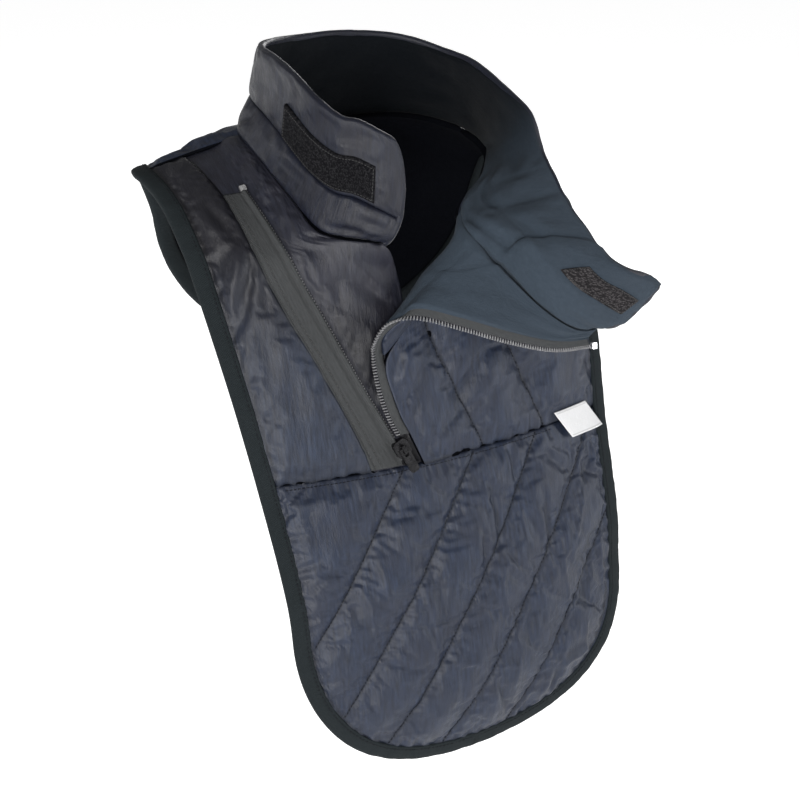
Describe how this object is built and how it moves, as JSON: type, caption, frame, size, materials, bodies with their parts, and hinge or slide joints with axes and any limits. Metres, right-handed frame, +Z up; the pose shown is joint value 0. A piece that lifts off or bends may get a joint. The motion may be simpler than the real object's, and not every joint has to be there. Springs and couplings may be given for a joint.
{
  "type": "turtleneck dickey",
  "caption": "Padded zip-front turtleneck dickey: quilted bib, short back flap and stand collar, unzipped with the left front and collar folded out as a flap.",
  "frame": {"origin": "middle of the neck opening, level with the shoulder ridge, where a neck carries it", "axes": "+Z up along the neck, the front towards -Y, the wearer's left at +X"},
  "size_m": [0.3443, 0.2429, 0.5036],
  "materials": {
    "shell": "satin charcoal-navy nylon",
    "lining": "brushed teal-grey fleece",
    "binding": "matt woven",
    "tape": "woven",
    "coil": "moulded nylon",
    "metal": "black enamel",
    "stop": "clenched, bare",
    "loop": "looped pile",
    "hook": "moulded hooks",
    "label": "woven satin, bare"
  },
  "bodies": {
    "root": {"bib_lower": "shell", "chest_right": "shell", "chest_left": "shell", "neck_underlay": "shell", "back_flap": "shell", "edge_binding": "binding", "collar_lower_band": "shell", "collar_upper_band": "shell", "collar_lining": "lining", "flap_shell": "shell", "flap_lining": "lining", "loop_patch": "loop", "hook_patch": "hook", "zip_tape_right": "tape", "zip_coil_right": "coil", "zip_tape_left": "tape", "zip_coil_left": "coil", "zip_slider": "metal", "zip_bridge": "metal", "zip_pull": "metal", "zip_box": "metal", "zip_stop_right": "stop", "zip_stop_left": "stop", "seam_label": "label"}
  },
  "joints": []
}
